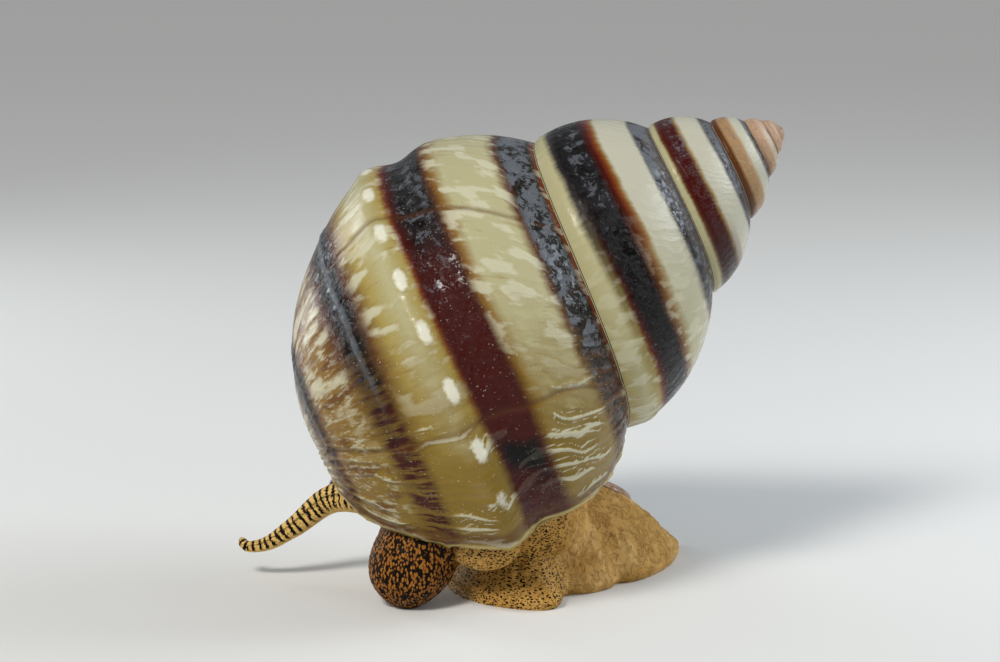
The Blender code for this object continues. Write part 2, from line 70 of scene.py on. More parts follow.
# the rounded lip: turns past it, share of its thickness, share of the way inside
LIP_PROFILE = ((0.0015, 0.35, 0.0), (0.0012, 0.75, 0.3), (0.0, 1.0, 0.6))
RIDGES_PER_TURN, KNOBS_PER_TURN, KNOBS_AT = 62, 21, 0.945
RESTS = (-0.285, -0.118)  # where growth paused and left a crease
CREASE_DEPTH, CREASE_WIDTH = 0.08, 0.0025
RIDGE_HEIGHTS, FINE_HEIGHTS = (0.02, 0.10), (0.006, 0.025)  # everywhere, and more near the lip
KNOB_HEIGHT, KNOB_WIDTH = 0.10, 0.036
FORMS = ((0.97, 0.06, 0.16), (0.80, 0.11, -0.20), (1.32, 0.22, -0.25))  # s, width and height
CORDS = ((1.235, 0.016, 0.09), (1.67, 0.02, 0.05))
LATTICE = 32  # cells before the noise repeats

# ---- flesh: foot, and routes of (centre, half-width, half-thickness if it differs) ----
# As in the CAD source, but for the ridge of the foot, which is higher in front.
FOOT_FRONT, FOOT_TAIL, FOOT_HALF_WIDTH, FOOT_EDGE, FOOT_SWEEP = -9.0, 9.3, 5.2, 0.55, 0.12
FOOT_BLUNT, FOOT_TAPER = -6.6, 0.5  # where the width begins to close, in front and behind
FOOT_LOBES = ((-7.0, 1.3, 0.75), (-4.3, 1.0, -0.75), (-0.2, 0.7, -0.45))  # y, length, half-width
RIDGE = ((-9.0, 0.8), (-8.0, 2.2), (-6.5, 3.6), (-4.6, 4.8), (-2.5, 5.2), (0.0, 5.3), (3.2, 4.7),
         (4.6, 4.0), (5.8, 3.2), (7.0, 2.2), (8.2, 1.25), (9.3, 0.6))
HEAD = (((0.7, -5.6, 8.4), 3.5, 2.9), ((0.2, -8.0, 6.9), 3.2, 2.8), ((-0.4, -10.0, 5.1), 3.0, 2.7),
        ((-0.8, -11.4, 3.4), 2.55, 2.45), ((-0.95, -12.1, 1.9), 2.5, 2.35),
        ((-1.0, -12.2, 0.8), 2.2, 2.05), ((-1.0, -12.2, -0.2), 1.35, 1.3))
HEAD_ACROSS = (0.0, -1.0, 1.0)
STALK = (((0.3, -3.4, 1.0), 4.2, 4.6), ((0.4, -3.8, 3.2), 4.0, 4.4), ((0.7, -5.0, 5.6), 3.8, 4.0),
         ((1.0, -6.6, 9.8), 3.2, 3.2))
TENTACLE_RIGHT = (((-2.2, -9.7, 4.7), 0.98), ((-5.3, -10.4, 5.1), 0.95), ((-8.4, -11.4, 4.9), 0.85),
                  ((-10.1, -13.1, 3.1), 0.60), ((-11.6, -14.2, 2.0), 0.40),
                  ((-12.5, -14.7, 1.9), 0.32), ((-13.1, -14.6, 2.3), 0.26))
TENTACLE_LEFT = (((1.6, -9.4, 4.9), 0.90), ((3.1, -8.9, 5.5), 0.75), ((4.3, -7.5, 6.1), 0.50),
                 ((4.8, -6.0, 6.5), 0.28))
LOBE_LEFT = (((4.7, -8.6, 4.3), 0.45, 0.5), ((4.0, -9.3, 3.9), 0.8, 1.1),
             ((2.9, -10.2, 3.7), 0.9, 1.25), ((1.9, -10.9, 3.9), 0.7, 0.9),
             ((1.3, -11.3, 4.1), 0.3, 0.4))
LOBE_RIGHT = (((-4.5, -7.4, 7.7), 0.4, 0.5), ((-4.6, -9.0, 7.2), 0.8, 1.1),
              ((-4.2, -10.6, 7.0), 0.7, 0.9), ((-3.7, -11.6, 7.1), 0.3, 0.4))
EYE_RADIUS = 0.36
EYES = {"right": (TENTACLE_RIGHT, 0.47, (-0.3, 0.35, 0.9)),  # route, share of it, and way out
        "left": (TENTACLE_LEFT, 0.42, (0.2, -0.75, 0.6))}
STUB_HALF_WIDTHS, STUB_PAST_EYE = (0.72, 0.60, 0.46), 0.10
OPERCULUM_CENTRE, OPERCULUM_SIZE, OPERCULUM_THICK = (-1.7, 4.6, 3.6), (2.1, 2.7), 0.6
OPERCULUM_TILT, OPERCULUM_BEND = (27.0, 28.0), 0.09  # degrees down to the tail and to the right
SKIN_NODES = ("foot_front", "foot_middle", "foot_tail", "foot_stalk", "mantle_collar", "neck", "head",
              "snout", "neck_lobe_left", "neck_lobe_right", "tentacle_left_base", "tentacle_left_tip",
              "tentacle_right_base", "tentacle_right_tip")
MOUTH_SLIT = (-1.0, 0.7)  # x and height of the slit at the snout's end
FOLD_DEPTH, WRINKLE_DEPTH, FINE_DEPTH, RING_DEPTH, SLIT_DEPTH = 0.16, 0.11, 0.05, 0.07, 0.22
FOOT_GRAIN, SNOUT_GRAIN = 0.018, 0.03
HEAD_RINGS = 11.0  # rings to the head's length
NOISE_SHIFT = 9.0  # keeps the noise's cells off the origin
VOXEL = 0.1
SKIN_GAP = 0.08  # between skin and shell
SKIN_ROUNDS = 6
PLUG_OUT, ROOM_OUT = 0.008, 0.002  # turns past the lip
BAR_SPACING = 0.44
TAN, TAN_PALE = (0.54, 0.305, 0.080), (0.70, 0.43, 0.150)
# the middle colour of the next line is painted shade in the skin's wrinkles
TAN_MIDDLE, WRINKLE_SHADE, TAN_FRONT = (0.42, 0.22, 0.052), (0.25, 0.11, 0.018), (0.50, 0.27, 0.055)
SKIN_DARK, ORANGE, GOLD = (0.006, 0.003, 0.001), (0.52, 0.21, 0.035), (0.72, 0.47, 0.15)
ORANGE_DEEP = (0.10, 0.030, 0.005)
EYE_COLOURS = ((0.0, (0.05, 0.025, 0.012)), (0.55, (0.02, 0.011, 0.007)),
               (0.72, (0.003, 0.003, 0.004)), (1.0, (0.001, 0.001, 0.002)))
HORN, HORN_PALE, HORN_LINE, HORN_EDGE = ((0.085, 0.032, 0.012), (0.15, 0.062, 0.022),
                                         (0.045, 0.016, 0.007), (0.30, 0.15, 0.06))
OPERCULUM_LINES, OPERCULUM_RIDGES = 22, 11

# ---- shell: colours, and bands as (colour, values of s that have it) ----
CREAM, WHITE_CREAM, YELLOW = (0.45, 0.415, 0.235), (0.50, 0.48, 0.375), (0.37, 0.285, 0.080)
OLIVE, OCHRE, BROWN = (0.23, 0.145, 0.018), (0.24, 0.13, 0.030), (0.10, 0.032, 0.008)
BLACK, MAROON, RUST = (0.003, 0.002, 0.002), (0.055, 0.004, 0.002), (0.17, 0.034, 0.007)
# two colours of the next line are painted reflection: the grey is the sheen on the dark band by the
# suture, and the blue-grey is the sky on the dark bands
REFLECTION_GREY, REFLECTION_BLUE, INK = (0.095, 0.082, 0.080), (0.15, 0.165, 0.19), (0.008, 0.007, 0.005)
SLATE, TAWNY = (0.030, 0.024, 0.026), (0.38, 0.23, 0.11)
# the middle colour of the next line is a painted highlight on the keel's knobs, and the first is, on the
# ridge crests, partly painted highlight
PALE_STREAK, KNOB_HIGHLIGHT, LIP_EDGE = (0.60, 0.58, 0.42), (0.78, 0.77, 0.64), (0.46, 0.36, 0.13)
MOUTH_PEARL, APEX_PINK = (0.55, 0.50, 0.42), (0.50, 0.33, 0.22)
BODY_BANDS = ((RUST, 0.0, 0.018), (INK, 0.03, 0.18), (BROWN, 0.22), (CREAM, 0.27, 0.54),
              (OCHRE, 0.595), (BROWN, 0.63), (BLACK, 0.66, 0.80), (MAROON, 0.85), (RUST, 0.872),
              (YELLOW, 0.90), (CREAM, 1.00), (YELLOW, 1.09), (BROWN, 1.16), (BLACK, 1.20, 1.28),
              (BROWN, 1.34), (OCHRE, 1.43, 1.56), (BROWN, 1.61), (BLACK, 1.64, 1.70), (BROWN, 1.75),
              (OCHRE, 1.80, 2.0))
# the grey by the suture in these band tables is painted reflection on the dark band there
SPIRE_BANDS = ((REFLECTION_GREY, 0.0, 0.10), (SLATE, 0.14, 0.18), (WHITE_CREAM, 0.22, 0.50), (OCHRE, 0.535),
               (RUST, 0.56), (MAROON, 0.60), (BLACK, 0.67, 0.88), (SLATE, 0.92), (CREAM, 0.97),
               (YELLOW, 2.0))
EARLY_BANDS = ((REFLECTION_GREY, 0.0, 0.12), (SLATE, 0.15), (REFLECTION_GREY, 0.20), (WHITE_CREAM, 0.27, 0.60),
               (OCHRE, 0.66), (MAROON, 0.70, 0.90), (BROWN, 0.94), (CREAM, 0.98, 2.0))
FIRST_BANDS = ((SLATE, 0.0), (REFLECTION_GREY, 0.12), (WHITE_CREAM, 0.24, 0.50), (TAWNY, 0.62, 0.86),
               (BROWN, 0.94, 2.0))
LIP_BANDS = ((RUST, 0.0), (BROWN, 0.03, 0.14), (OLIVE, 0.24, 0.58), (MAROON, 0.65, 0.85),
             (OLIVE, 0.90, 1.16), (MAROON, 1.20, 1.29), (OLIVE, 1.34), (OCHRE, 1.60),
             (MAROON, 1.64, 1.72), (OLIVE, 1.80), (OCHRE, 2.0))
LATER_BANDS = ((EARLY_BANDS, -3.05, -2.75), (SPIRE_BANDS, -2.15, -1.85), (BODY_BANDS, -1.25, -0.95))

# ---- shell: where each marking lies; a REACH is along the growth, the others are values of s ----
SHELL_ATTRIBUTES = ("across", "growth", "inside", "pale", "pearl", "crease")
APEX_REACH, BODY_REACH, LIP_REACH = (-3.7, -4.6), (-1.25, -0.95), (-0.24, -0.06)
GLOW_REACH, CLOUD_REACH, SMEAR_REACH = (-0.30, -0.20), (-0.08, -0.22), (-0.20, -0.03)
# the plates and the cord streak placed here are painted reflection and a painted highlight
PLATE_REACH, CORD_HIGHLIGHT_REACH, BLACK_REACH = (-0.06, -0.18), (-0.12, -0.24), (-0.092, -0.052)
RIM_REACH, EDGE_REACH = (-0.020, -0.008), (-0.007, -0.003)
DARK_BANDS = ((0.02, 0.22), (0.62, 0.88), (1.15, 1.34), (1.60, 1.74))
SUTURE_BAND, MIDDLE_BAND, LOWER_BAND = (0.03, 0.20), (0.64, 0.85), (1.14, 1.36)
# the middle one of these is where the painted blue-grey reflection lies on the dark band
BLACK_PART, REFLECTION_PART, FRAYED_PART = (0.66, 0.84), (0.65, 0.84), (1.12, 1.80)
# the first of these holds the painted highlight streak along the cord
CORD_HIGHLIGHT_LINE, BROWN_PART, FIBRE_PART = (1.222, 1.25), (1.28, 1.42), (1.34, 1.95)


def smooth(x):
    """Smooth step from 0 to 1 over 0..1."""
    x = np.clip(x, 0.0, 1.0)
    return x * x * (3.0 - 2.0 * x)


def bump(x, centre, width):
    return np.exp(-((x - centre) / width) ** 2)


def crests(phase, power):
    """Rounded crests from 0 to 1, one to each unit of the phase, with flat gaps between them."""
    return np.maximum(np.cos(math.tau * phase), 0.0) ** power


def unit(vectors):
    return vectors / np.linalg.norm(vectors, axis=-1, keepdims=True)


# ---- the coil --------------------------------------------------------

def shell_axes():
    """Unit vectors: along the axis from apex to base, and the two that span the turn."""
    dip, turn, roll = (math.radians(a) for a in (AXIS_DIP, AXIS_TURN, AXIS_ROLL))
    axis = np.array([-math.sin(turn) * math.cos(dip), -math.cos(turn) * math.cos(dip), -math.sin(dip)])
    level = unit(np.cross([0.0, 0.0, 1.0], axis))
    start = math.cos(roll) * level + math.sin(roll) * np.cross(axis, level)
    return axis, start, np.cross(start, axis)


AXIS, START, SIDE = shell_axes()


def keel(t):
    """(radius, depth) of the keel; points of a section are stacked on the last axis."""
    late = np.maximum(t + 1.0, 0.0) ** SLOW_POWER
    radius = KEEL_RADIUS * GROW_RADIUS ** (t + 1.0) * np.exp(-SLOW_RADIUS * late)
    depth = KEEL_DEPTH * GROW_DEPTH ** (t + 1.0) * np.exp(-SLOW_DEPTH * late)
    return np.stack([radius, depth], -1)


def base(t):
    first, last = BASE_SHIFT
    share = BASE_DEPTH + (BASE_DEPTH_LIP - BASE_DEPTH) * smooth((t - first) / (last - first))
    return keel(t) * np.stack([np.full_like(share, BASE_RADIUS), share], -1)


def arc(start, end, bulge, share):
    """Point on a shallow arc."""
    chord = end - start
    outward = np.stack([chord[..., 1], -chord[..., 0]], -1)
    return start + chord * share[..., None] + outward * (4.0 * bulge * share * (1.0 - share))[..., None]


def lower_arc(t, share):
    point = arc(keel(t), base(t), LOWER_BULGE, share)
    sink = 1.0 - np.sqrt(1.0 - np.clip((share - DIMPLE_FROM) / (1.0 - DIMPLE_FROM), 0.0, 1.0) ** 2)
    point[..., 1] -= DIMPLE * keel(t)[..., 1] * sink
    return point


def drop(t):
    return SUTURE_DROP + SUTURE_DROP_LIP * smooth((t + 0.6) / 0.6)


def outer(t, s):
    """Section of the whorl in (radius, depth)."""
    upper = arc(lower_arc(t - 1.0, drop(t)), keel(t), UPPER_BULGE, np.minimum(s, 1.0))
    groove = SULCUS * bump(s, SULCUS_AT, SULCUS_WIDTH) * smooth((t + 1.0) / 0.5)
    upper = upper + groove[..., None] * np.array([-0.85, 0.3])
    return np.where((s > 1.0)[..., None], lower_arc(t, np.maximum(s - 1.0, 0.0)), upper)


def lag(t, s):
    """Growth lines fall back from the suture to the base; the early whorls have straight ones."""
    upper = LAG_KEEL * np.sin(np.minimum(s, 1.0) * math.pi / 2.0)
    return (upper + (LAG_BASE - LAG_KEEL) * np.maximum(s - 1.0, 0.0)) * smooth(t + 3.0)


def on_coil(t, section):
    angle = math.pi / 2.0 + math.tau * t
    radius, depth = section[..., 0], section[..., 1]
    return (APEX + AXIS * depth[..., None] + START * (radius * np.cos(angle))[..., None]
            + SIDE * (radius * np.sin(angle))[..., None])


def outer_point(t, s):
    """Point of the outer surface on the growth line t."""
    turn = t - lag(t, s)
    return on_coil(turn, outer(turn, s))


def parietal_point(t, share):
    """Point of the previous turn's surface that the growth line t runs over."""
    turn = t - lag(t, 2.0) * share
    s = drop(turn) + (1.0 - drop(turn)) * share
    return on_coil(turn, lower_arc(turn - 1.0, s))


def walls(t, share):
    """Points of the outer wall and of the parietal wall on the growth line t."""
    return outer_point(t, 2.0 * share), parietal_point(t, share)


# ---- shell mesh ------------------------------------------------------

def across_whorl(edge):
    """Values of s at the columns, and the share of the lower part, with the keel's edge at this s."""
    column = np.arange(COLUMNS)
    low = np.clip((column - UPPER_COLUMNS) / LOWER_COLUMNS, 0.0, 1.0)
    return np.minimum(column / UPPER_COLUMNS, 1.0) * edge + (2.0 - edge) * low, low


class Grid:
    """Rows along the coil and columns across it, as one welded strip that winds on itself."""

    def __init__(self):
        self.turns = round(-FIRST_TURN * ROWS_PER_TURN)
        self.first_body = self.turns - ROWS_PER_TURN
        self.t = FIRST_TURN * (1.0 - np.arange(self.turns + 1) / self.turns)
        self.number = np.full((self.turns + 1, COLUMNS), -1)
        own = self.own = np.zeros_like(self.number, bool)
        own[:, :UPPER_COLUMNS] = True
        own[self.first_body + 1:, UPPER_COLUMNS] = True
        own[self.first_body:, UPPER_COLUMNS + 1:] = True
        self.number[own] = np.arange(own.sum())
        self.number[:self.first_body + 1, UPPER_COLUMNS] = self.number[ROWS_PER_TURN:, 0]

    def coordinates(self):
        """Turn and s of every vertex of the grid."""
        t = np.broadcast_to(self.t[:, None], self.number.shape)
        edge = 1.0 + drop(np.minimum(t + 1.0, 0.0))
        s, low = across_whorl(edge)
        toward_lip = smooth(t + 1.0)
        fall = toward_lip * lag(t, s) + (1.0 - toward_lip) * LAG_BASE * low
        return (t - fall)[self.own], s[self.own]

    def faces(self):
        n, j = self.number, UPPER_COLUMNS
        quads = []
        for part in (n[:, :j + 1], n[self.first_body:, j:]):
            corners = (part[:-1, :-1], part[1:, :-1], part[1:, 1:], part[:-1, 1:])
            quads.append(np.stack([c.ravel() for c in corners], -1))
        return np.vstack(quads)


def mouth_rings():
    """Rings of the open mouth, from the lip inward: first the outer wall's points, then the inner's.
    Each comes with the (t, s, inside) of its points."""
    shares = (MOUTH_START + (MOUTH_END - MOUTH_START) * across_whorl(1.0 + drop(0.0))[0] / 2.0,
              MOUTH_START + (MOUTH_END - MOUTH_START) * np.linspace(1.0, 0.0, LOWER_COLUMNS + 1))
    profile = list(LIP_PROFILE)
    for inward in np.arange(1, MOUTH_RINGS + 1) / MOUTH_RINGS:
        thick = 1.0 + (WALL / LIP_THICK - 1.0) * smooth(inward * 2.0)
        profile.append((-MOUTH_DEPTH * inward ** 1.5, thick, 1.0))
    rings = []
    for t, thick, inside in profile:
        ring, place = [], []
        for own, (share, wall) in enumerate(zip(shares, (LIP_THICK * thick, CALLUS))):
            ends = walls(t, share)
            across = ends[1 - own] - ends[own]
            width = np.linalg.norm(across, axis=-1)
            ring.append(ends[own] + across * np.minimum(wall / width, 0.45)[..., None])
            place.append([(t, 2.0 * part, max(inside, own)) for part in share])
        rings.append((np.vstack(ring), np.vstack(place)))
    return rings


def strip(a, b):
    """Quads between two rows of points."""
    return list(zip(a, a[1:], b[1:], b))


def fan(ring, tip):
    return [(a, b, tip) for a, b in zip(ring, ring[1:] + ring[:1])]


def shell_mesh():
    """Points in millimetres, faces, and (turn, s, inside) of each point of the shell."""
    grid = Grid()
    turn, s = grid.coordinates()
    points, places = [on_coil(turn, outer(turn, s))], [np.stack([turn, s, 0.0 * s], -1)]
    faces = grid.faces().tolist()
    n = grid.number
    total = len(turn)

    def add(new, place):
        nonlocal total
        points.append(np.atleast_2d(new))
        places.append(np.broadcast_to(place, (len(points[-1]), 3)))
        total += len(points[-1])
        return list(range(total - len(points[-1]), total))

    tip = add(on_coil(np.array([0.0]), np.array([[0.0, keel(np.array(FIRST_TURN))[1] * 0.5]])),
              (FIRST_TURN, 0.0, 0.0))[0]
    faces += fan(list(n[:ROWS_PER_TURN + 1, 0]) + list(n[0, UPPER_COLUMNS - 1:0:-1]), tip)

    body_t = grid.t[grid.first_body:]
    low = base(body_t)
    low[:, 0] = 0.0
    low[:, 1] -= DIMPLE * keel(body_t)[:, 1]
    spindle = add(on_coil(body_t, low), (0.0, 2.0, 1.0))
    faces += strip(list(n[grid.first_body:, -1]), spindle)

    rings = [add(ring, place) for ring, place in mouth_rings()]
    for a, b in zip(rings[:-1], rings[1:]):
        faces += strip(a + a[:1], b + b[:1])
    rim_out, rim_in = list(n[-1]), list(n[grid.first_body, :UPPER_COLUMNS - 1:-1])
    mouth_out, mouth_in = rings[0][:COLUMNS], rings[0][COLUMNS:]
    faces += strip(rim_out, mouth_out) + strip(rim_in, mouth_in)
    faces.append((rim_out[-1], spindle[-1], spindle[0], rim_in[0], mouth_in[0], mouth_out[-1]))
    faces.append((rim_out[0], mouth_out[0], mouth_in[-1]))
    heart = add(np.vstack(points)[rings[-1]].mean(0), (-MOUTH_DEPTH, 1.0, 1.0))[0]
    return np.vstack(points), faces + fan(rings[-1], heart), np.vstack(places)


def lattice(points, seed):
    """Smooth noise from -1 to 1 on a random lattice, one cell to the unit."""
    table = np.random.default_rng(seed).uniform(-1.0, 1.0, (LATTICE,) * 3)
    cell = np.floor(points).astype(int)
    part = smooth(points - cell)
    value = 0.0
    for corner in np.ndindex(2, 2, 2):
        share = np.prod(np.where(corner, part, 1.0 - part), -1)
        value = value + share * table[tuple(((cell + corner) % LATTICE).T)]
    return value


def shell_relief(turn, s):
    """Height of the growth ridges, keel knobs and cords above the smooth shell in millimetres, and the
    shares of pale on the ridges, part pale shell and part painted highlight, of the painted highlight on
    the knobs and of brown in the creases."""
    growth = turn + lag(turn, s)

    def wander(along_growth, along_s, seed):
        """Noise with so many cells to a turn and to a unit of s."""
        return lattice(np.stack([growth * along_growth, s * along_s, 0.0 * s], -1), seed)

    size = GROW_RADIUS ** np.minimum(turn + 1.0, 0.0)
    phase = growth * RIDGES_PER_TURN + 0.7 * wander(8.0, 3.0, 1) + 0.45 * wander(45.0, 9.0, 2)
    crest = crests(phase, 2.0)
    fine = crests(2.3 * phase + 0.5 * wander(40.0, 20.0, 3), 2.0)
    patches = smooth(0.65 + 2.2 * wander(RIDGES_PER_TURN, 4.5, 4))
    late = smooth((growth + 0.20) / 0.12)
    start = smooth((growth + 0.95) / 0.3)
    relief = (RIDGE_HEIGHTS[0] + RIDGE_HEIGHTS[1] * late * patches) * crest
    relief += (FINE_HEIGHTS[0] + FINE_HEIGHTS[1] * late) * fine
    relief += 0.03 * wander(26.0, 2.5, 5) + 0.02 * wander(70.0, 30.0, 6) * late
    crease = sum(bump(growth + 0.008 * wander(8.0, 3.0, 8), rest, CREASE_WIDTH) for rest in RESTS)
    relief -= CREASE_DEPTH * crease
    knobs = crests(growth * KNOBS_PER_TURN + 0.3 * wander(7.0, 0.0, 7), 0.5)
    knobs *= bump(s, KNOBS_AT, KNOB_WIDTH) * smooth(-growth / 0.08) * smooth((growth + 1.0) / 0.08)
    form = sum(height * bump(s, at, width) for at, width, height in FORMS + CORDS)
    # pale crests near the lip: partly pale shell, partly a painted highlight on the ridges
    pale = late * patches * np.maximum(crest, 0.8 * fine) * (1.0 - 0.35 * smooth((s - 1.05) / 0.2))
    tidy = smooth((2.0 - s) / 0.25)
    return size * (relief + KNOB_HEIGHT * knobs + form * start) * tidy, pale * tidy, knobs, crease


# ---- shader helpers --------------------------------------------------

class Paint:
    """A Principled material whose node graph is written as calls."""

    def __init__(self, name, **uniform):
        self.material = bpy.data.materials.new(name)
        self.material.use_nodes = True
        self.tree = self.material.node_tree
        self.shader = self.tree.nodes["Principled BSDF"]
        self.colour = None
        for key, value in uniform.items():
            self.shader.inputs[key.replace("_", " ")].default_value = value

    def set(self, socket, value):
        if isinstance(value, bpy.types.NodeSocket):
            self.tree.links.new(value, socket)
        elif isinstance(value, tuple) and len(value) == 3 and len(socket.default_value) == 4:
            socket.default_value = (*value, 1.0)
        else:
            socket.default_value = value

    def output(self, key, value):
        self.set(self.shader.inputs[key], value)

    def node(self, kind, sockets, out=0, **settings):
        """Output of a new node with these settings and {input: value}."""
        node = self.tree.nodes.new(kind)
        for key, value in settings.items():
            setattr(node, key, value)
        for key, value in sockets.items():
            self.set(node.inputs[key], value)
        return node.outputs[out]

    def attribute(self, name):
        return self.node("ShaderNodeAttribute", {}, "Fac", attribute_name=name)

    def place(self):
        """Object coordinates in millimetres."""
        return self.stretched(self.node("ShaderNodeTexCoord", {}, "Object"), (1.0 / MM,) * 3)

    def stretched(self, vector, scales):
        """A vector with each part times its own scale."""
        return self.node("ShaderNodeVectorMath", {0: vector, 1: scales}, operation='MULTIPLY')

    def math(self, operation, a, b=0.0, c=0.0):
        return self.node("ShaderNodeMath", {0: a, 1: b, 2: c}, operation=operation)

    def times(self, value, *others):
        for other in others:
            value = self.math('MULTIPLY', value, other)
        return value

    def most(self, value, *others):
        for other in others:
            value = self.math('MAXIMUM', value, other)
        return value

    def rest_of(self, share):
        return self.math('SUBTRACT', 1.0, share)

    def swayed(self, value, noise, amount):
        """A value moved up and down by a noise."""
        return self.math('MULTIPLY_ADD', self.math('SUBTRACT', noise, 0.5), amount, value)

    def step(self, value, low, high):
        """Smooth step of a value from 0 at low to 1 at high."""
        return self.node("ShaderNodeMapRange", {"Value": value, "From Min": low, "From Max": high},
                         "Result", interpolation_type='SMOOTHSTEP')

    def band(self, value, low, high, soft=0.03):
        """1 between two values, with soft edges."""
        return self.times(self.step(value, low - soft, low + soft),
                          self.step(value, high + soft, high - soft))

    def valleys(self, noise, width):
        """1 along the winding lines where a noise passes its middle, and 0 away from them."""
        return self.step(self.math('ABSOLUTE', self.math('SUBTRACT', noise, 0.5)), width, 0.3 * width)

    def noise(self, vector, scale, detail=2.0, rough=0.5, distortion=0.0):
        return self.node("ShaderNodeTexNoise", {"Vector": vector, "Scale": scale, "Detail": detail,
                                                "Roughness": rough, "Distortion": distortion}, "Fac")

    def cells(self, vector):
        """Distance from the middle of the nearest cell, one cell to the unit."""
        return self.node("ShaderNodeTexVoronoi", {"Vector": vector, "Scale": 1.0}, "Distance")

    def mix(self, share, a, b):
        return self.node("ShaderNodeMix", {0: share, 6: a, 7: b}, 2, data_type='RGBA')

    def coat(self, new, *shares):
        """Lay a new colour over the colour so far, by the product of the shares."""
        self.colour = self.mix(self.times(*shares), self.colour, new)

    def ramp(self, value, stops):
        node = self.tree.nodes.new("ShaderNodeValToRGB")
        self.set(node.inputs[0], value)
        elements = node.color_ramp.elements
        for place, colour in stops[2:]:
            elements.new(place)
        for element, (place, colour) in zip(elements, stops):
            element.position = place
            element.color = (*colour, 1.0)
        return node.outputs["Color"]

    def facing_up(self):
        """How far the surface faces up, from -1 to 1."""
        normal = self.node("ShaderNodeNewGeometry", {}, "Normal")
        return self.node("ShaderNodeSeparateXYZ", {0: normal}, 2)

    def bump(self, layers):
        """Normal from (height socket, depth in millimetres) layers."""
        under = {}
        for height, depth in layers:
            sockets = {"Distance": depth * MM, "Height": height, **under}
            under = {"Normal": self.node("ShaderNodeBump", sockets)}
        self.output("Normal", under["Normal"])
        self.output("Coat Normal", under["Normal"])


# ---- shell colours ---------------------------------------------------

